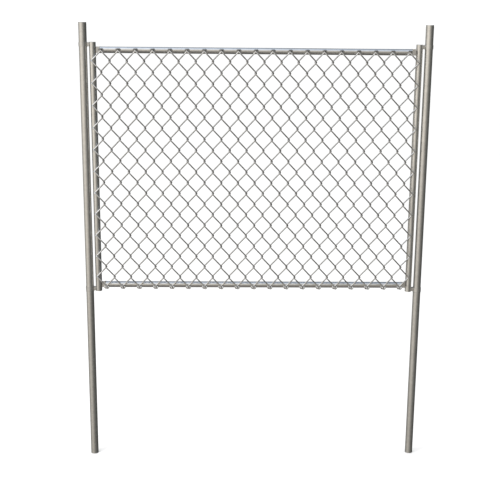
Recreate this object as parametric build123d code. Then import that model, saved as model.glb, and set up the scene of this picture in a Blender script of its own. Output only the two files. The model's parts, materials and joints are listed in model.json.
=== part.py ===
from build123d import *
import os

# A chain link fence panel that hangs on two long round posts.
# Millimetres, +Z up, front at -Y, origin midway between the feet of the posts.

# Posts: their free lower ends are the pins that stand in whatever holds the fence
post_spacing = 1828.8
post_length = 2438.4
post_diameter = 42.2
post_wall = 2.6

# Panel frame: two stiles with a rail between them near each end, welded by flat tongues
panel_foot = 977.8
stile_length = 1358.9
stile_diameter = 34.9
stile_wall = 2.0
stile_gap = 11.3
rail_diameter = 33.4
rail_wall = 2.0
top_rail_drop = 40.2
bottom_rail_rise = 36.7
tongue_gap = 22.0
tongue_entry = 30.0
tongue_thickness = 6.0

# Collars that slide on the posts, the lugs that carry them, and the stop rings welded below
collar_height = 20.0
collar_wall = 1.6
collar_clearance = 0.4
collar_inset = 2.5
lug_depth = 16.0
stop_height = 5.0
stop_wall = 1.5
weld_gap = 0.1

# Chain link: each wire is a flat zigzag that hooks into the next one at every bend
wire_diameter = 6.8
wire_clearance = 0.3
diamonds_across = 19
diamonds_high = 11
bend_rise = 2.8
mesh_slack = 8.0
mesh_top_lap = 3.0
mesh_bottom_lap = 9.5
mesh_seat = 0.2

# Places that follow from the sizes above
post_radius = post_diameter / 2
stile_radius = stile_diameter / 2
post_to_stile = post_radius + stile_gap + stile_radius
stile_spacing = post_spacing - 2 * post_to_stile
rail_length = stile_spacing - 2 * (stile_radius + tongue_gap)
panel_top = panel_foot + stile_length
top_rail_level = panel_top - top_rail_drop
bottom_rail_level = panel_foot + bottom_rail_rise
collar_levels = (panel_foot + collar_inset, panel_top - collar_inset - collar_height)
collar_bore = post_radius + collar_clearance
collar_radius = collar_bore + collar_wall

# The mesh hangs from above the top rail's axis to below the bottom rail's, against the frame's front
mesh_top = top_rail_level + mesh_top_lap
mesh_height = mesh_top - bottom_rail_level + mesh_bottom_lap
half_width = (stile_spacing - mesh_slack) / (2 * diamonds_across)
half_height = mesh_height / (2 * diamonds_high)
bend_radius = (wire_diameter + wire_clearance) / 2
frame_front = max(stile_diameter, rail_diameter) / 2
mesh_depth = frame_front + mesh_seat + bend_radius + wire_diameter / 2


def ring(outer_radius, inner_radius, height):
    return extrude(Circle(outer_radius) - Circle(inner_radius), height)


def tube(diameter, wall, length):
    return ring(diameter / 2, diameter / 2 - wall, length)


def make_post():
    stop = ring(post_radius + stop_wall, post_radius - post_wall, stop_height)
    return tube(post_diameter, post_wall, post_length) + Pos(Z=collar_levels[0] - stop_height) * stop


def make_rail():
    # Each end is cut square and slotted above and below for its tongue
    rail = Pos(X=-rail_length / 2) * Rot(Y=90) * tube(rail_diameter, rail_wall, rail_length)
    slot = Box(2 * (tongue_entry + weld_gap), tongue_thickness + 2 * weld_gap, 2 * rail_diameter)
    for side in (-1, 1):
        rail -= Pos(X=side * rail_length / 2) * slot
    return rail


def make_tongue(side):
    # A flat bar as tall as the rail, hollowed to the round of its stile at one end
    reach = stile_radius + tongue_gap + tongue_entry
    bar = Pos(X=-side * reach / 2) * Box(reach, tongue_thickness, rail_diameter)
    return bar - Cylinder(stile_radius + weld_gap, 2 * rail_diameter)


def make_lug(side):
    # A flat bar from the collar to the stile, hollowed to the round of each
    bar = Pos(X=-side * post_to_stile / 2) * extrude(Rectangle(post_to_stile, lug_depth), collar_height)
    collar_cut = extrude(Circle(collar_radius + weld_gap), collar_height)
    stile_cut = extrude(Circle(stile_radius + weld_gap), collar_height)
    return bar - collar_cut - Pos(X=-side * post_to_stile) * stile_cut


def make_wire():
    # One wire about its own upright axis: front strands fall to the right, back strands to the left
    corners = []
    for bend in range(2 * diamonds_high + 1):
        side = -1 if bend % 2 == 0 else 1
        reach = side * (half_width / 2 + bend_radius)
        level = -bend * half_height
        corners.append((reach, -side * bend_radius, level + bend_rise))
        corners.append((reach, side * bend_radius, level - bend_rise))
    path = Polyline(*corners)
    start = Plane(path @ 0, x_dir=(1, 0, 0), z_dir=path % 0)
    section = start * RegularPolygon(wire_diameter / 2, 4)
    return sweep(section, path=path, transition=Transition.RIGHT)


nodes = {}

for side_name, side in (("left", -1), ("right", 1)):
    post_axis = Pos(X=side * post_spacing / 2)
    stile_axis = Pos(X=side * stile_spacing / 2)
    nodes[f"{side_name}_post"] = post_axis * make_post()
    stile = tube(stile_diameter, stile_wall, stile_length)
    nodes[f"{side_name}_stile"] = stile_axis * Pos(Z=panel_foot) * stile
    seats = [post_axis * Pos(Z=level) for level in collar_levels]
    collar = ring(collar_radius, collar_bore, collar_height)
    lug = make_lug(side)
    nodes[f"{side_name}_collars"] = Compound([seat * collar for seat in seats])
    nodes[f"{side_name}_lugs"] = Compound([seat * lug for seat in seats])

for rail_name, level in (("top_rail", top_rail_level), ("bottom_rail", bottom_rail_level)):
    nodes[rail_name] = Pos(Z=level) * make_rail()
    tongues = [Pos(X=side * stile_spacing / 2, Z=level) * make_tongue(side) for side in (-1, 1)]
    nodes[f"{rail_name}_tongues"] = Compound(tongues)

# Neighbouring wires face opposite ways, so that each hooks the bends of the next
wire = make_wire()
for number in range(2 * diamonds_across):
    wire_axis = Pos((number + 0.5) * half_width - stile_spacing / 2, -mesh_depth, mesh_top)
    facing = Rot(Z=180 if number % 2 == 0 else 0)
    nodes[f"mesh_wire_{number + 1:02d}"] = wire_axis * facing * wire

os.makedirs("parts", exist_ok=True)
for name, solid in nodes.items():
    export_step(solid, f"parts/{name}.step")
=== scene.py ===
import bpy
import bmesh
import json
import math
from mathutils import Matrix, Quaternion, Vector


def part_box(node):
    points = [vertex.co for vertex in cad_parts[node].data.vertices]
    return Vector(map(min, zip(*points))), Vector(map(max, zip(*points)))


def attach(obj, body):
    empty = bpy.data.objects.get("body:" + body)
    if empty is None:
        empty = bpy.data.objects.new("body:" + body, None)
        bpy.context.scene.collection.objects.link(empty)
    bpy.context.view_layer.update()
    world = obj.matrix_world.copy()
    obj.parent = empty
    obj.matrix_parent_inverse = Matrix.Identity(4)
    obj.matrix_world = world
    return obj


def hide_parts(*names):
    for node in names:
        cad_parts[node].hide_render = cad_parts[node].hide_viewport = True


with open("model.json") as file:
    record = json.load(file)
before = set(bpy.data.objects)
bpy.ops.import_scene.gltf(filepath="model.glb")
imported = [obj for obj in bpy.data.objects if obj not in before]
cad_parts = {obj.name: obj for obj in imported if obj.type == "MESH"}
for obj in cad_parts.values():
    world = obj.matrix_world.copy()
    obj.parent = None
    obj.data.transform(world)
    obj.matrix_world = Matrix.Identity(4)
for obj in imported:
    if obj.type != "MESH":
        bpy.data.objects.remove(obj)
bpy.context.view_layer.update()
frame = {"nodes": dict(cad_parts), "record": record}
print("frame loaded:", len(frame["nodes"]), "nodes")


# working tools

tiny = 1e-5  # points nearer than this are one point
close = 2e-4  # an edge nearer than this to a round wall lies on it
sharp = math.radians(40)  # an edge sharper than this is a cut edge
edgeSteps = 2  # steps in every rounded edge
cutterFacets = 96


def clearSelection():
    if bpy.context.mode != "OBJECT":
        bpy.ops.object.mode_set(mode="OBJECT")
    bpy.ops.object.select_all(action="DESELECT")


def workOn(piece, mode="OBJECT"):
    clearSelection()
    piece.select_set(True)
    bpy.context.view_layer.objects.active = piece
    bpy.ops.object.mode_set(mode=mode)


def settle(piece, name):
    workOn(piece)
    piece.name = name
    piece.data.name = name
    bpy.ops.object.transform_apply(location=True, rotation=True, scale=True)
    return piece


def pickFaces(piece, test):
    bpy.ops.mesh.select_mode(type="FACE")
    bpy.ops.mesh.select_all(action="DESELECT")
    cage = bmesh.from_edit_mesh(piece.data)
    for face in cage.faces:
        face.select_set(test(face.calc_center_median(), face.normal))
    cage.select_flush_mode()
    bmesh.update_edit_mesh(piece.data)


def pickEdges(piece, test):
    bpy.ops.mesh.select_mode(type="EDGE")
    bpy.ops.mesh.select_all(action="DESELECT")
    cage = bmesh.from_edit_mesh(piece.data)
    for edge in cage.edges:
        edge.select_set(test(edge))
    cage.select_flush_mode()
    bmesh.update_edit_mesh(piece.data)


def roundEdges(radius):
    bpy.ops.mesh.bevel(offset=radius, segments=edgeSteps, affect="EDGES")


def faceOutward():
    bpy.ops.mesh.select_all(action="SELECT")
    bpy.ops.mesh.normals_make_consistent(inside=False)
    bpy.ops.object.mode_set(mode="OBJECT")


def cutAway(piece, cutter):
    workOn(piece)
    cut = piece.modifiers.new("cope", "BOOLEAN")
    cut.operation = "DIFFERENCE"
    cut.solver = "EXACT"
    cut.object = cutter
    bpy.ops.object.modifier_apply(modifier=cut.name)
    bpy.data.objects.remove(cutter)


def roundCutter(radius, length, place):
    clearSelection()
    bpy.ops.mesh.primitive_cylinder_add(
        vertices=cutterFacets, radius=radius, depth=length, location=place)
    return settle(bpy.context.object, "cutter")


def boxCutter(size, place):
    clearSelection()
    bpy.ops.mesh.primitive_cube_add(size=1, location=place, scale=size)
    return settle(bpy.context.object, "cutter")


def joinInto(piece, extras):
    clearSelection()
    for extra in extras:
        extra.select_set(True)
    piece.select_set(True)
    bpy.context.view_layer.objects.active = piece
    bpy.ops.object.join()


# long edges of a bar that lies across
def runsAcross(edge):
    return abs(edge.verts[0].co.x - edge.verts[1].co.x) > tiny


# cut edges of a bar where it meets an upright round wall
def meetsRound(edge, centre, radius):
    reach = max(math.hypot(corner.co.x - centre, corner.co.y) for corner in edge.verts)
    return reach < radius + close and edge.calc_face_angle(0) > sharp


# sizes that come from the frame

mounts = {mount["name"]: mount for mount in frame["record"]["mounts"]}
postRadius = mounts["left_post_pin"]["dims"]["r_mm"] / 1000
sides = {"left": -1, "right": 1}


# lowest and highest corner, middle and size
def nodeBox(node):
    low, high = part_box(node)
    return low, high, (low + high) / 2, high - low


stileLow, stileHigh, stileMiddle, stileSize = nodeBox("right_stile")
stileRadius = stileSize.x / 2
stileX = stileMiddle.x
_, _, topRailMiddle, railSize = nodeBox("top_rail")
_, _, bottomRailMiddle, _ = nodeBox("bottom_rail")
railRadius = railSize.z / 2
print("tools ready, panel from", round(stileLow.z, 4), "to", round(stileHigh.z, 4))


# an upright tube with its foot at the origin: both ends are inset, joined through and rounded
def addTube(name, tube):
    clearSelection()
    length = tube["length"]
    bpy.ops.mesh.primitive_cylinder_add(
        vertices=tube["facets"], radius=tube["radius"], depth=length, location=(0, 0, length / 2))
    piece = settle(bpy.context.object, name)
    bpy.ops.object.mode_set(mode="EDIT")

    def atEnd(place, normal):
        return min(place.z, length - place.z) < tiny

    pickFaces(piece, atEnd)
    bpy.ops.mesh.inset(thickness=tube["wall"])
    bpy.ops.mesh.bridge_edge_loops()

    def onRim(edge):
        start, end = (corner.co for corner in edge.verts)
        level = abs(start.z - end.z) < tiny
        return level and abs(start.xy.length - end.xy.length) < tiny

    pickEdges(piece, onRim)
    roundEdges(tube["rim"])
    faceOutward()
    return piece


# weld beads follow an edge loop of the piece that they hold
weld = {
    "roundness": 3, "unevenness": 0.00035, "sideways": 0.4, "outward": 0.6, "seed": 4,
    "sortFrom": (-2.1, -3.3, -0.7), "smoothing": math.radians(80),
}


def addWeld(piece, name, test, size):
    workOn(piece, "EDIT")
    # sorted from a spot off every middle plane, so that each run draws the same beads
    bpy.context.scene.cursor.location = weld["sortFrom"]
    bpy.ops.mesh.select_all(action="SELECT")
    bpy.ops.mesh.sort_elements(type="CURSOR_DISTANCE", elements={"VERT", "EDGE"})
    pickEdges(piece, test)
    bpy.ops.mesh.duplicate()
    bpy.ops.mesh.separate(type="SELECTED")
    bpy.ops.object.mode_set(mode="OBJECT")
    bead = [extra for extra in bpy.context.selected_objects if extra != piece][0]
    workOn(bead)
    bead.name = name
    bpy.ops.object.convert(target="CURVE")
    bead.data.bevel_depth = size
    bead.data.bevel_resolution = weld["roundness"]
    bead.data.use_fill_caps = True
    bpy.ops.object.convert(target="MESH")
    bpy.ops.object.mode_set(mode="EDIT")
    bpy.ops.mesh.select_all(action="SELECT")
    bpy.ops.mesh.remove_doubles(threshold=tiny)
    bpy.ops.transform.vertex_random(
        offset=weld["unevenness"], uniform=weld["sideways"], normal=weld["outward"], seed=weld["seed"])
    faceOutward()
    return bead


# posts, each with its stop ring
post = {
    "radius": postRadius, "wall": 0.0026, "rim": 0.0006, "facets": 72,
    "stopHeight": 0.005, "stopProud": 0.0015, "stopEdge": 0.0004, "weldSize": 0.0019,
}


def addPost(sideName):
    low, _, middle, size = nodeBox(f"{sideName}_post")
    piece = addTube(f"{sideName}PostTube", {**post, "length": size.z})
    ringTop = nodeBox(f"{sideName}_collars")[0].z
    ringFoot = ringTop - post["stopHeight"]
    proud = post["stopProud"]
    workOn(piece, "EDIT")
    for cutHeight in (ringFoot, ringTop):
        bpy.ops.mesh.select_all(action="SELECT")
        bpy.ops.mesh.bisect(plane_co=(0, 0, cutHeight), plane_no=(0, 0, 1))

    def onStop(place, normal):
        return ringFoot < place.z < ringTop and normal.xy.dot(place.xy) > 0

    pickFaces(piece, onStop)
    bpy.ops.mesh.extrude_region_shrink_fatten(TRANSFORM_OT_shrink_fatten={"value": proud})

    def onStopEdge(edge):
        start, end = (corner.co for corner in edge.verts)
        level = abs(start.z - end.z) < tiny
        return level and min(start.xy.length, end.xy.length) > postRadius + proud / 2

    pickEdges(piece, onStopEdge)
    roundEdges(post["stopEdge"])
    faceOutward()

    def underStop(edge):
        ends = [corner.co for corner in edge.verts]
        onWall = max(abs(end.xy.length - postRadius) for end in ends) < close
        return onWall and max(abs(end.z - ringFoot) for end in ends) < tiny

    bead = addWeld(piece, f"{sideName}StopWeld", underStop, post["weldSize"])
    for item in (piece, bead):
        item.location = (middle.x, 0, low.z)
        settle(item, item.name)
    return piece, bead


# stiles and rails of the panel frame
stile = {"radius": stileRadius, "wall": 0.002, "rim": 0.0005, "facets": 64}
rail = {"radius": railRadius, "wall": 0.002, "rim": 0.0003, "facets": 64}
tongue = {"entry": 0.030, "slotGap": 0.0001, "edge": 0.0006, "weldSize": 0.0016}


def addStile(sideName):
    low, _, middle, size = nodeBox(f"{sideName}_stile")
    piece = addTube(f"{sideName}StileTube", {**stile, "length": size.z})
    piece.location = (middle.x, middle.y, low.z)
    return settle(piece, piece.name)


# square ends, slotted above and below for the tongues
def addRail(node, name):
    low, high, middle, size = nodeBox(node)
    piece = addTube(name, {**rail, "length": size.x})
    piece.rotation_euler = (0, math.pi / 2, 0)
    piece.location = (low.x, 0, middle.z)
    settle(piece, name)
    slotWidth = nodeBox(f"{node}_tongues")[3].y + 2 * tongue["slotGap"]
    slotSize = (2 * tongue["entry"], slotWidth, 4 * railRadius)
    for end in (low.x, high.x):
        cutAway(piece, boxCutter(slotSize, (end, 0, middle.z)))
    return piece


# flat bars that stand in the rail ends and are hollowed to the stiles
def addTongues(node, name):
    _, _, middle, size = nodeBox(f"{node}_tongues")
    railEnd = nodeBox(node)[1].x
    innerEnd = railEnd - tongue["entry"]
    plateSize = (stileX - innerEnd, size.y, size.z)
    plates, beads = [], []
    for side in sides.values():
        clearSelection()
        place = (side * (innerEnd + stileX) / 2, 0, middle.z)
        bpy.ops.mesh.primitive_cube_add(size=1, location=place, scale=plateSize)
        plate = settle(bpy.context.object, name)
        bpy.ops.object.mode_set(mode="EDIT")
        pickEdges(plate, runsAcross)
        roundEdges(tongue["edge"])
        bpy.ops.mesh.select_all(action="SELECT")
        bpy.ops.mesh.bisect(plane_co=(side * railEnd, 0, 0), plane_no=(1, 0, 0))
        faceOutward()
        cutAway(plate, roundCutter(stileRadius, 4 * railRadius, (side * stileX, 0, middle.z)))

        def atMouth(edge):
            return max(abs(corner.co.x - side * railEnd) for corner in edge.verts) < tiny

        def atStile(edge):
            return meetsRound(edge, side * stileX, stileRadius)

        for test in (atMouth, atStile):
            beads.append(addWeld(plate, f"{name}Weld{len(beads) + 1}", test, tongue["weldSize"]))
        plates.append(plate)
    joinInto(plates[0], plates[1:])
    joinInto(beads[0], beads[1:])
    return settle(plates[0], name), settle(beads[0], f"{name}Welds")


postPieces = {sideName: addPost(sideName) for sideName in sides}
stilePieces = {sideName: addStile(sideName) for sideName in sides}
railNames = {"top_rail": "topRail", "bottom_rail": "bottomRail"}
railPieces = {node: addRail(node, f"{name}Tube") for node, name in railNames.items()}
tonguePieces = {node: addTongues(node, f"{name}Tongues") for node, name in railNames.items()}
print("tubes and tongues done")


# collars and lugs
collar = {"wall": 0.0016, "rim": 0.0003, "facets": 72, "height": 0.020}
lug = {"edge": 0.0007, "weldSize": 0.0015, "spare": 0.01}  # the cutters take the spare length off


def addCollars(sideName):
    low, high, middle, size = nodeBox(f"{sideName}_collars")
    ring = {**collar, "radius": size.y / 2, "length": collar["height"]}
    lower = addTube(f"{sideName}CollarRings", ring)
    workOn(lower)
    bpy.ops.object.duplicate()
    upper = bpy.context.object
    lower.location = (middle.x, 0, low.z)
    upper.location = (middle.x, 0, high.z - collar["height"])
    joinInto(lower, [upper])
    return settle(lower, f"{sideName}CollarRings")


def addLugs(sideName):
    low, high, middle, size = nodeBox(f"{sideName}_lugs")
    postX = nodeBox(f"{sideName}_post")[2].x
    collarRadius = nodeBox(f"{sideName}_collars")[3].y / 2
    walls = ((postX, collarRadius), (sides[sideName] * stileX, stileRadius))
    barSize = (size.x + lug["spare"], size.y, collar["height"])
    bars, beads = [], []
    for height in (low.z + collar["height"] / 2, high.z - collar["height"] / 2):
        clearSelection()
        bpy.ops.mesh.primitive_cube_add(size=1, location=(middle.x, 0, height), scale=barSize)
        bar = settle(bpy.context.object, f"{sideName}LugBars")
        bpy.ops.object.mode_set(mode="EDIT")
        pickEdges(bar, runsAcross)
        roundEdges(lug["edge"])
        faceOutward()
        for centre, radius in walls:
            cutAway(bar, roundCutter(radius, 2 * collar["height"], (centre, 0, height)))

            def onEnd(edge):
                return meetsRound(edge, centre, radius)

            beads.append(addWeld(bar, f"{sideName}LugWeld{len(beads) + 1}", onEnd, lug["weldSize"]))
        bars.append(bar)
    joinInto(bars[0], bars[1:])
    joinInto(beads[0], beads[1:])
    return settle(bars[0], f"{sideName}LugBars"), settle(beads[0], f"{sideName}LugWelds")


collarPieces = {sideName: addCollars(sideName) for sideName in sides}
lugPieces = {sideName: addLugs(sideName) for sideName in sides}
print("collars and lugs done")


# chain link: a wire and an edge wire are modelled and copied, every other copy turned half round
chain = {
    "wire": 0.0068, "clearance": 0.0003, "across": 19, "high": 11,
    "slack": 0.008, "topLap": 0.0030, "bottomLap": 0.0095, "seat": 0.0003,
    "facets": 12, "bendSteps": 8, "edgeDraw": 0.0031,
    "hookTurn": math.radians(135), "hookSteps": 8,
    "upperRise": 0.0085, "upperRadius": 0.0065, "upperLeg": 0.003,
    "lowerRadius": 0.006, "lowerLeg": 0.008,
}
chainTop = topRailMiddle.z + chain["topLap"]
chainFoot = bottomRailMiddle.z - chain["bottomLap"]
halfWidth = (2 * stileX - chain["slack"]) / (2 * chain["across"])
halfHeight = (chainTop - chainFoot) / (2 * chain["high"])
bendRadius = (chain["wire"] + chain["clearance"]) / 2
# a wire keeps one slope through its strands and bends
bendFall = math.pi * halfHeight / (halfWidth / bendRadius + math.pi)
strandFall = halfHeight - bendFall
chainDepth = max(stileRadius, railRadius) + chain["seat"] + bendRadius + chain["wire"] / 2


def pushOn(step):
    bpy.ops.mesh.extrude_region_move(TRANSFORM_OT_translate={"value": step})


# the operator turns the other way when there is no window
def turnOn(angle, axis, centre):
    bpy.ops.transform.rotate(
        value=-angle, orient_axis=axis, orient_type="GLOBAL", center_override=centre)


def wireBend(column, turn, fall):
    for _ in range(chain["bendSteps"]):
        pushOn((0, 0, fall / chain["bendSteps"]))
        turnOn(turn / chain["bendSteps"], "Z", (column, 0, 0))


# a hooked end: the wire turns over about the point that it leans to and ends in a straight leg
def wireHook(end, start, heading, turn):
    lean = Vector((-heading.z, 0, heading.x)) * (1 if turn < 0 else -1)
    for _ in range(chain["hookSteps"]):
        pushOn((0, 0, 0))
        turnOn(turn / chain["hookSteps"], "Y", start + chain[f"{end}Radius"] * lean)
    pushOn(chain[f"{end}Leg"] * (Quaternion((0, 1, 0), turn) @ heading))
    bpy.ops.mesh.edge_face_add()


# the outer bends of an edge wire are drawn out sideways and fall less
def addWire(draw):
    left, right = -halfWidth / 2, halfWidth / 2
    slope = math.atan2(strandFall, halfWidth)
    drawnFall = draw * strandFall / halfWidth
    clearSelection()
    bpy.ops.mesh.primitive_circle_add(
        vertices=chain["facets"], radius=chain["wire"] / 2,
        location=(left, -bendRadius, -bendFall / 2), rotation=(0, math.pi / 2 + slope, 0))
    piece = settle(bpy.context.object, "chainWire")
    bpy.ops.object.mode_set(mode="EDIT")
    bpy.ops.mesh.select_all(action="SELECT")
    pushOn((halfWidth + draw, 0, -strandFall - drawnFall))
    wireBend(right + draw, math.pi, 2 * drawnFall - bendFall)
    pushOn((-halfWidth - draw, 0, -strandFall - drawnFall))
    wireBend(left, math.pi, -bendFall)
    bpy.ops.object.mode_set(mode="OBJECT")
    repeat = piece.modifiers.new("diamonds", "ARRAY")
    repeat.count = chain["high"]
    repeat.use_relative_offset = False
    repeat.use_constant_offset = True
    repeat.constant_offset_displace = (0, 0, -2 * halfHeight)
    repeat.use_merge_vertices = True
    repeat.merge_threshold = tiny
    bpy.ops.object.modifier_apply(modifier=repeat.name)
    bpy.ops.object.mode_set(mode="EDIT")
    # the lower end hooks on from its last bend, the upper one after one more bend
    foot = -2 * halfHeight * chain["high"]
    falling = Vector((math.cos(slope), 0, -math.sin(slope)))
    rising = Vector((math.cos(slope), 0, math.sin(slope)))
    pickEdges(piece, lambda edge: edge.is_boundary and edge.verts[0].co.z < foot / 2)
    lowerStart = Vector((left, -bendRadius, foot - bendFall / 2))
    wireHook("lower", lowerStart, falling, -chain["hookTurn"])
    pickEdges(piece, lambda edge: edge.is_boundary and edge.verts[0].co.z > foot / 2)
    wireBend(left, -math.pi, chain["upperRise"])
    upperStart = Vector((left, bendRadius, chain["upperRise"] - bendFall / 2))
    wireHook("upper", upperStart, rising, chain["hookTurn"])
    bpy.ops.mesh.select_all(action="SELECT")
    bpy.ops.mesh.remove_doubles(threshold=tiny / 10)
    faceOutward()
    bpy.ops.object.shade_smooth()
    return piece


def layWires(master, edgeMaster):
    wires = []
    last = 2 * chain["across"] - 1
    for number in range(last + 1):
        workOn(edgeMaster if number in (0, last) else master)
        bpy.ops.object.duplicate()
        copy = bpy.context.object
        copy.location = ((number + 0.5) * halfWidth - stileX, -chainDepth, chainTop)
        copy.rotation_euler = (0, 0, math.pi if number % 2 == 0 else 0)
        wires.append(settle(copy, f"chainWire{number + 1:02d}"))
    bpy.data.objects.remove(master)
    bpy.data.objects.remove(edgeMaster)
    return wires


wirePieces = layWires(addWire(0), addWire(chain["edgeDraw"]))
print("chain link done:", len(wirePieces), "wires of", len(wirePieces[0].data.polygons), "faces")


# every piece rides with its body and stands for its node

def enlist(piece, body, nodes):
    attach(piece, body)
    if nodes:
        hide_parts(*nodes)


for sideName in sides:
    tube, bead = postPieces[sideName]
    enlist(tube, "posts", [f"{sideName}_post"])
    enlist(bead, "posts", [])
    enlist(stilePieces[sideName], "panel", [f"{sideName}_stile"])
    enlist(collarPieces[sideName], "panel", [f"{sideName}_collars"])
    bars, beads = lugPieces[sideName]
    enlist(bars, "panel", [f"{sideName}_lugs"])
    enlist(beads, "panel", [])
for node in railNames:
    enlist(railPieces[node], "panel", [node])
    plates, beads = tonguePieces[node]
    enlist(plates, "panel", [f"{node}_tongues"])
    enlist(beads, "panel", [])
for number, wirePiece in enumerate(wirePieces):
    enlist(wirePiece, "panel", [f"mesh_wire_{number + 1:02d}"])
print("pieces riding on their bodies")


# node tools

def newGroup(name, inputs, outputs):
    group = bpy.data.node_groups.new(name, "ShaderNodeTree")
    for label, kind, value in inputs:
        socket = group.interface.new_socket(label, in_out="INPUT", socket_type=kind)
        if value is not None:
            socket.default_value = value
    for label in outputs:
        group.interface.new_socket(label, in_out="OUTPUT", socket_type="NodeSocketFloat")
    return group, group.nodes.new("NodeGroupInput"), group.nodes.new("NodeGroupOutput")


def feed(tree, socket, value):
    if isinstance(value, bpy.types.NodeSocket):
        tree.links.new(value, socket)
    else:
        socket.default_value = value


def addMath(tree, operation, first, second):
    node = tree.nodes.new("ShaderNodeMath")
    node.operation = operation
    feed(tree, node.inputs[0], first)
    feed(tree, node.inputs[1], second)
    return node.outputs[0]


def addRange(tree, value, fromLow, fromHigh, toLow, toHigh):
    node = tree.nodes.new("ShaderNodeMapRange")
    node.inputs["From Min"].default_value = fromLow
    node.inputs["From Max"].default_value = fromHigh
    feed(tree, node.inputs["To Min"], toLow)
    feed(tree, node.inputs["To Max"], toHigh)
    tree.links.new(value, node.inputs["Value"])
    return node.outputs["Result"]


def placeGroup(tree, group, values):
    node = tree.nodes.new("ShaderNodeGroup")
    node.node_tree = group
    for label, value in values.items():
        feed(tree, node.inputs[label], value)
    return node.outputs


# crystals of the zinc coat, each one a lighter or darker patch
def makeSpangle():
    inputs = [
        ("Vector", "NodeSocketVector", None),
        ("Size", "NodeSocketFloat", 90.0),
        ("Contrast", "NodeSocketFloat", 0.08),
    ]
    group, inlet, outlet = newGroup("zincSpangle", inputs, ["Tone", "Height"])
    cells = group.nodes.new("ShaderNodeTexVoronoi")
    group.links.new(inlet.outputs["Vector"], cells.inputs["Vector"])
    group.links.new(inlet.outputs["Size"], cells.inputs["Scale"])
    split = group.nodes.new("ShaderNodeSeparateColor")
    group.links.new(cells.outputs["Color"], split.inputs["Color"])
    darkest = addMath(group, "SUBTRACT", 1.0, inlet.outputs["Contrast"])
    lightest = addMath(group, "ADD", 1.0, inlet.outputs["Contrast"])
    tone = addRange(group, split.outputs["Red"], 0, 1, darkest, lightest)
    group.links.new(tone, outlet.inputs["Tone"])
    group.links.new(cells.outputs["Distance"], outlet.inputs["Height"])
    return group


# handling marks: broad dull patches and fine streaks
marking = {
    "patchDetail": 6, "patchRoughness": 0.62, "patchStart": 0.3, "patchFull": 0.7,
    "streakFineness": 14.0, "streakDetail": 3,
}


def makeMarks():
    inputs = [
        ("Vector", "NodeSocketVector", None),
        ("Size", "NodeSocketFloat", 9.0),
        ("Amount", "NodeSocketFloat", 0.1),
    ]
    group, inlet, outlet = newGroup("handlingMarks", inputs, ["Dulling", "Streaks"])
    patches = group.nodes.new("ShaderNodeTexNoise")
    group.links.new(inlet.outputs["Vector"], patches.inputs["Vector"])
    group.links.new(inlet.outputs["Size"], patches.inputs["Scale"])
    patches.inputs["Detail"].default_value = marking["patchDetail"]
    patches.inputs["Roughness"].default_value = marking["patchRoughness"]
    most = inlet.outputs["Amount"]
    least = addMath(group, "MULTIPLY", most, -1.0)
    noise = patches.outputs["Fac"]
    dulling = addRange(group, noise, marking["patchStart"], marking["patchFull"], least, most)
    group.links.new(dulling, outlet.inputs["Dulling"])
    streaks = group.nodes.new("ShaderNodeTexNoise")
    group.links.new(inlet.outputs["Vector"], streaks.inputs["Vector"])
    fineness = addMath(group, "MULTIPLY", inlet.outputs["Size"], marking["streakFineness"])
    group.links.new(fineness, streaks.inputs["Scale"])
    streaks.inputs["Detail"].default_value = marking["streakDetail"]
    group.links.new(streaks.outputs["Fac"], outlet.inputs["Streaks"])
    return group


# painted shade on level ledges, darker by how far a face looks up
ledge = {"start": 0.75, "full": 0.95}


def makeLedgePaintedShade():
    group, inlet, outlet = newGroup("ledgePaintedShade", [("Darkness", "NodeSocketFloat", 0.5)], ["Shade"])
    surface = group.nodes.new("ShaderNodeNewGeometry")
    split = group.nodes.new("ShaderNodeSeparateXYZ")
    group.links.new(surface.outputs["Normal"], split.inputs["Vector"])
    darkest = addMath(group, "SUBTRACT", 1.0, inlet.outputs["Darkness"])
    shade = addRange(group, split.outputs["Z"], ledge["start"], ledge["full"], 1, darkest)
    group.links.new(shade, outlet.inputs["Shade"])
    return group


spangleGroup = makeSpangle()
marksGroup = makeMarks()
ledgePaintedShadeGroup = makeLedgePaintedShade()


# wire colour with painted light: a painted highlight where the wire lies on the frame, lighter in its
# bends, painted shade on the front strands and at its hooked ends
wirePaintedLight = {
    "leftStile": 1.75, "rightStile": 1.6, "rail": 1.7, "frameFade": 0.012,
    "bend": 1.15, "bendStart": 0.011, "bendFull": 0.005, "front": 0.66, "frontFade": 0.002,
    "upperHook": 0.52, "upperHookStart": -0.005, "upperHookFull": -0.001,
    "lowerHook": 0.6, "lowerHookStart": 0.004, "lowerHookFull": -0.004,
}


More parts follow.
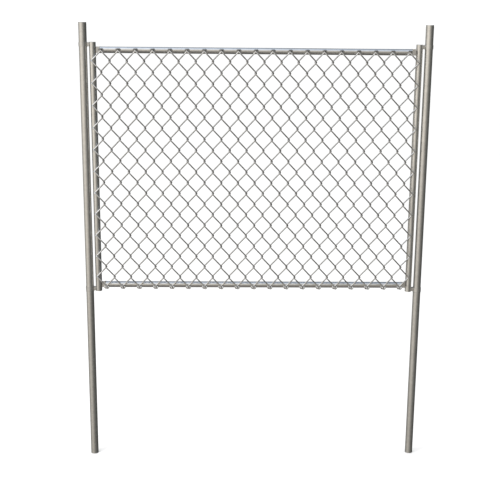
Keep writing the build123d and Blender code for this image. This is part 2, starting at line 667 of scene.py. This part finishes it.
def addWirePaintedLight(tree, places):
    split = tree.nodes.new("ShaderNodeSeparateXYZ")
    tree.links.new(places, split.inputs["Vector"])
    across, depth, height = split.outputs["X"], split.outputs["Y"], split.outputs["Z"]
    # painted shade on the front strands, and lighter at the bends
    fade = wirePaintedLight["frontFade"]
    strand = addRange(tree, depth, -chainDepth - fade / 2, -chainDepth + fade / 2, wirePaintedLight["front"], 1)
    fromBend = addMath(tree, "PINGPONG", addMath(tree, "ADD", across, stileX), halfWidth / 2)
    plain = addRange(tree, fromBend, wirePaintedLight["bendFull"], wirePaintedLight["bendStart"], wirePaintedLight["bend"], strand)
    # painted highlight where the wire lies on the frame
    inner = stileX - stileRadius
    upper, lower = topRailMiddle.z - railRadius, bottomRailMiddle.z + railRadius
    fade = wirePaintedLight["frameFade"]
    zones = (
        addRange(tree, across, -inner, fade - inner, wirePaintedLight["leftStile"], plain),
        addRange(tree, across, inner - fade / 2, inner + fade / 2, plain, wirePaintedLight["rightStile"]),
        addRange(tree, height, upper - fade / 2, upper + fade / 2, plain, wirePaintedLight["rail"]),
        addRange(tree, height, lower - fade / 2, lower + fade / 2, wirePaintedLight["rail"], plain),
    )
    onFrame = zones[0]
    for zone in zones[1:]:
        onFrame = addMath(tree, "MAXIMUM", onFrame, zone)
    # painted shade on the hooked ends
    start, full = chainTop + wirePaintedLight["upperHookStart"], chainTop + wirePaintedLight["upperHookFull"]
    onUpper = addRange(tree, height, start, full, 1, wirePaintedLight["upperHook"])
    start, full = chainFoot + wirePaintedLight["lowerHookStart"], chainFoot + wirePaintedLight["lowerHookFull"]
    onLower = addRange(tree, height, full, start, wirePaintedLight["lowerHook"], 1)
    return addMath(tree, "MULTIPLY", onFrame, addMath(tree, "MULTIPLY", onUpper, onLower))


# zinc finishes
uprightZinc = {
    "colour": (0.70, 0.695, 0.68), "metallic": 1.0, "roughness": 0.30, "stretch": (1, 1, 0.12),
    "spangleSize": 70, "spangleContrast": 0.05, "spangleHeight": 0.3, "markSize": 9, "markAmount": 0.06,
    "bump": 0.12, "bumpDepth": 0.0004, "ledgePaintedShade": 0, "paintedLight": False,
}
levelZinc = {**uprightZinc, "stretch": (0.12, 1, 1), "roughness": 0.22}
# fittings and welds get painted shade on their upward faces
fittingZinc = {
    **uprightZinc, "stretch": (1, 1, 1), "roughness": 0.38, "spangleSize": 120, "ledgePaintedShade": 0.55,
}
weldZinc = {
    **fittingZinc, "colour": (0.50, 0.495, 0.48), "roughness": 0.5,
    "markSize": 40, "markAmount": 0.14, "bump": 0.5,
}
wireZinc = {
    **fittingZinc, "colour": (0.53, 0.525, 0.515), "roughness": 0.24,
    "spangleSize": 220, "spangleContrast": 0.04, "markSize": 25, "ledgePaintedShade": 0, "paintedLight": True,
}


def makeZinc(name, finish):
    material = bpy.data.materials.new(name)
    material.use_nodes = True
    tree = material.node_tree
    shader = tree.nodes["Principled BSDF"]
    shader.inputs["Metallic"].default_value = finish["metallic"]
    places = tree.nodes.new("ShaderNodeTexCoord").outputs["Object"]
    mapping = tree.nodes.new("ShaderNodeMapping")
    mapping.inputs["Scale"].default_value = finish["stretch"]
    tree.links.new(places, mapping.inputs["Vector"])
    spangle = placeGroup(tree, spangleGroup, {
        "Vector": places, "Size": finish["spangleSize"], "Contrast": finish["spangleContrast"]})
    marks = placeGroup(tree, marksGroup, {
        "Vector": mapping.outputs["Vector"], "Size": finish["markSize"], "Amount": finish["markAmount"]})
    # tone over the zinc colour
    tone = tree.nodes.new("ShaderNodeHueSaturation")
    tone.inputs["Color"].default_value = (*finish["colour"], 1)
    shade = addMath(tree, "SUBTRACT", spangle["Tone"], marks["Dulling"])
    # painted shade on upward faces, darker the more a face looks up
    if finish["ledgePaintedShade"]:
        paintedShade = placeGroup(tree, ledgePaintedShadeGroup, {"Darkness": finish["ledgePaintedShade"]})
        shade = addMath(tree, "MULTIPLY", shade, paintedShade["Shade"])
    # painted highlight and painted shade on the wire, by where it lies
    if finish["paintedLight"]:
        shade = addMath(tree, "MULTIPLY", shade, addWirePaintedLight(tree, places))
    tree.links.new(shade, tone.inputs["Value"])
    tree.links.new(tone.outputs["Color"], shader.inputs["Base Color"])
    roughness = addMath(tree, "ADD", marks["Dulling"], finish["roughness"])
    tree.links.new(roughness, shader.inputs["Roughness"])
    # fine relief
    bump = tree.nodes.new("ShaderNodeBump")
    bump.inputs["Strength"].default_value = finish["bump"]
    bump.inputs["Distance"].default_value = finish["bumpDepth"]
    crystals = addMath(tree, "MULTIPLY", spangle["Height"], finish["spangleHeight"])
    tree.links.new(addMath(tree, "ADD", marks["Streaks"], crystals), bump.inputs["Height"])
    tree.links.new(bump.outputs["Normal"], shader.inputs["Normal"])
    return material


zincs = {
    "uprightZinc": makeZinc("uprightZinc", uprightZinc),
    "levelZinc": makeZinc("levelZinc", levelZinc),
    "fittingZinc": makeZinc("fittingZinc", fittingZinc),
    "weldZinc": makeZinc("weldZinc", weldZinc),
    "wireZinc": makeZinc("wireZinc", wireZinc),
}
smoothing = math.radians(20)  # faces that meet at less than this blend, but a weld has its own angle


def coat(piece, zinc):
    piece.data.materials.clear()
    piece.data.materials.append(zincs[zinc])


def coatSmooth(piece, zinc, angle=smoothing):
    coat(piece, zinc)
    workOn(piece)
    bpy.ops.object.shade_smooth_by_angle(angle=angle)


for sideName in sides:
    tube, bead = postPieces[sideName]
    coatSmooth(tube, "uprightZinc")
    coatSmooth(bead, "weldZinc", weld["smoothing"])
    coatSmooth(stilePieces[sideName], "uprightZinc")
    coatSmooth(collarPieces[sideName], "fittingZinc")
    bars, beads = lugPieces[sideName]
    coatSmooth(bars, "fittingZinc")
    coatSmooth(beads, "weldZinc", weld["smoothing"])
for node in railNames:
    coatSmooth(railPieces[node], "levelZinc")
    plates, beads = tonguePieces[node]
    coatSmooth(plates, "fittingZinc")
    coatSmooth(beads, "weldZinc", weld["smoothing"])
for wirePiece in wirePieces:
    coat(wirePiece, "wireZinc")
print("finishes done")


# floor, light and camera, where a pair of numbers is the span of a direction over which a light fades
studio = {
    "floorSize": 200, "paper": 0.92, "paperLight": 1.12,
    "baseColour": (0.122, 0.124, 0.115), "baseLeft": 1.25, "baseBack": 0.55,
    "baseAcross": (-0.5, 0.1), "baseDepth": (-0.2, 0.5),
    "skyColour": (0.60, 0.80, 1.13), "skyHeight": (0.3, 0.9),
    "skyRight": 0.3, "skyAcross": (-0.6, 0.6), "skyBack": 0.5, "skyDepth": (-0.2, 0.7),
    "keyColour": (1.16, 1.075, 0.96), "keySide": (-0.70, -0.62, 0.36), "keyFocus": 3.8,
    "keyGround": 0.15, "keyHeight": (-0.8, -0.1),
    "backColour": (0.30, 0.30, 0.29), "backSide": (-0.2, 1.0, -0.15), "backFocus": 24,
    "groundColour": (0.24, 0.205, 0.195), "groundHeight": (-0.5, -0.95), "groundDepth": (-0.3, 0.1),
    "lampPlace": (-3.6, -2.9, 4.6), "lampAim": (0, 0, 1.2), "lampSize": 2.4, "lampPower": 120,
}
cameraRig = {
    "place": (-0.1607, -5.4389, 2.5618), "lookAt": (-0.0273, -0.1022, 1.2381),
    "roll": math.radians(0.552), "lens": 72.79, "sensor": 36,
}


def grey(level):
    return (level, level, level, 1)


def aimFrom(place, target):
    return (Vector(target) - Vector(place)).to_track_quat("-Z", "Y")


def addFloor():
    clearSelection()
    bpy.ops.mesh.primitive_plane_add(size=studio["floorSize"], location=(0, 0, 0))
    floor = settle(bpy.context.object, "studioFloor")
    paper = bpy.data.materials.new("floorPaper")
    paper.use_nodes = True
    shader = paper.node_tree.nodes["Principled BSDF"]
    shader.inputs["Roughness"].default_value = 1.0
    shader.inputs["Specular IOR Level"].default_value = 0.0
    shader.inputs["Base Color"].default_value = grey(studio["paper"])
    floor.data.materials.append(paper)
    floor.visible_glossy = False


# one part of the surroundings that the metal mirrors
def addPart(tree, colour, strength):
    part = tree.nodes.new("ShaderNodeVectorMath")
    part.operation = "SCALE"
    part.inputs[0].default_value = colour
    tree.links.new(strength, part.inputs["Scale"])
    return part.outputs["Vector"]


def addGlow(tree, direction, lamp):
    facing = tree.nodes.new("ShaderNodeVectorMath")
    facing.operation = "DOT_PRODUCT"
    tree.links.new(direction, facing.inputs[0])
    facing.inputs[1].default_value = Vector(studio[f"{lamp}Side"]).normalized()
    nearness = addRange(tree, facing.outputs["Value"], -1, 1, 0, 1)
    return addMath(tree, "POWER", nearness, studio[f"{lamp}Focus"])


def addSky():
    world = bpy.data.worlds.new("studioSky")
    bpy.context.scene.world = world
    world.use_nodes = True
    world.cycles.sampling_method = "NONE"
    tree = world.node_tree
    direction = tree.nodes.new("ShaderNodeTexCoord").outputs["Generated"]
    split = tree.nodes.new("ShaderNodeSeparateXYZ")
    tree.links.new(direction, split.inputs["Vector"])
    across, depth, height = split.outputs["X"], split.outputs["Y"], split.outputs["Z"]
    # open sky above, weaker to the right and behind
    skyward = addRange(tree, height, *studio["skyHeight"], 0, 1)
    leftward = addRange(tree, across, *studio["skyAcross"], 1, studio["skyRight"])
    frontward = addRange(tree, depth, *studio["skyDepth"], 1, studio["skyBack"])
    sky = addMath(tree, "MULTIPLY", skyward, addMath(tree, "MULTIPLY", leftward, frontward))
    # broad soft key from the front left, cut off towards the ground, and a narrow panel behind
    groundward = addRange(tree, height, *studio["keyHeight"], studio["keyGround"], 1)
    groundward.node.interpolation_type = "SMOOTHSTEP"
    key = addMath(tree, "MULTIPLY", addGlow(tree, direction, "key"), groundward)
    back = addGlow(tree, direction, "back")
    # dim surroundings, darker behind, and the ground straight below
    behind = addRange(tree, across, *studio["baseAcross"], studio["baseLeft"], studio["baseBack"])
    base = addRange(tree, depth, *studio["baseDepth"], 1, behind)
    below = addRange(tree, height, *studio["groundHeight"], 0, 1)
    ground = addMath(tree, "MULTIPLY", below, addRange(tree, depth, *studio["groundDepth"], 1, 0))
    total = addPart(tree, studio["skyColour"], sky)
    for lamp, strength in {"key": key, "back": back, "base": base, "ground": ground}.items():
        add = tree.nodes.new("ShaderNodeVectorMath")
        add.operation = "ADD"
        tree.links.new(total, add.inputs[0])
        tree.links.new(addPart(tree, studio[f"{lamp}Colour"], strength), add.inputs[1])
        total = add.outputs["Vector"]
    # only the metal mirrors all this, and the paper and the camera get an even white
    rays = tree.nodes.new("ShaderNodeLightPath")
    choose = tree.nodes.new("ShaderNodeMix")
    choose.data_type = "RGBA"
    tree.links.new(rays.outputs["Is Glossy Ray"], choose.inputs[0])
    choose.inputs[6].default_value = grey(studio["paperLight"])  # first colour of the mix
    tree.links.new(total, choose.inputs[7])  # second colour of the mix
    tree.links.new(choose.outputs[2], tree.nodes["Background"].inputs["Color"])


def addLamp():
    clearSelection()
    bpy.ops.object.light_add(type="AREA", location=studio["lampPlace"])
    lamp = bpy.context.object
    lamp.name = "softLamp"
    lamp.data.size = studio["lampSize"]
    lamp.data.energy = studio["lampPower"]
    lamp.visible_glossy = False
    lamp.rotation_euler = aimFrom(studio["lampPlace"], studio["lampAim"]).to_euler()


def addCamera():
    clearSelection()
    bpy.ops.object.camera_add(location=cameraRig["place"])
    camera = bpy.context.object
    camera.name = "frontCamera"
    roll = Quaternion((0, 0, 1), cameraRig["roll"])
    camera.rotation_euler = (aimFrom(cameraRig["place"], cameraRig["lookAt"]) @ roll).to_euler()
    camera.data.lens = cameraRig["lens"]
    camera.data.sensor_width = cameraRig["sensor"]
    bpy.context.scene.camera = camera


addFloor()
addSky()
addLamp()
addCamera()
bpy.context.scene.view_settings.view_transform = "Standard"
bpy.context.scene.view_settings.look = "None"
print("stage done")
